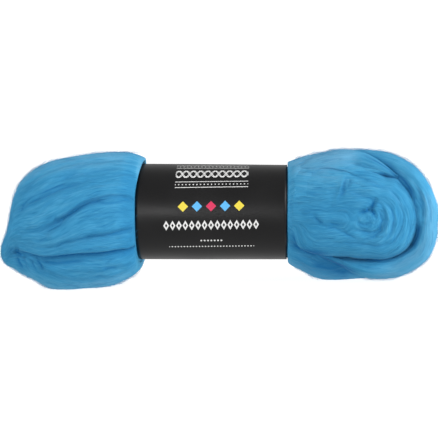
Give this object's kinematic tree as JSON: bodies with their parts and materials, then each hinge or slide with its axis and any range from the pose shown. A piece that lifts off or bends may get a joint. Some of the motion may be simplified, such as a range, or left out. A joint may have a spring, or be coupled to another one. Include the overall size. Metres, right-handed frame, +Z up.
{
  "type": "wool roving",
  "caption": "Hank of combed wool roving for felting and spinning, laid to and fro and coiled at one end, its waist held by a plain lapped paper band between two puffed bundles.",
  "frame": {"origin": "centre of the bounding box's underside, on the surface the hank rests on", "axes": "+X along the hank from the folded end to the coiled end, -Y is the front that the coil faces, +Z up"},
  "size_m": [0.2936, 0.0915, 0.0905],
  "materials": {
    "wool": "soft loose fibres, matt with a faint silky sheen along them",
    "band_paper": "satin coated card-weight paper, black"
  },
  "bodies": {
    "root": {"roving": "wool", "band": "band_paper"}
  },
  "joints": []
}
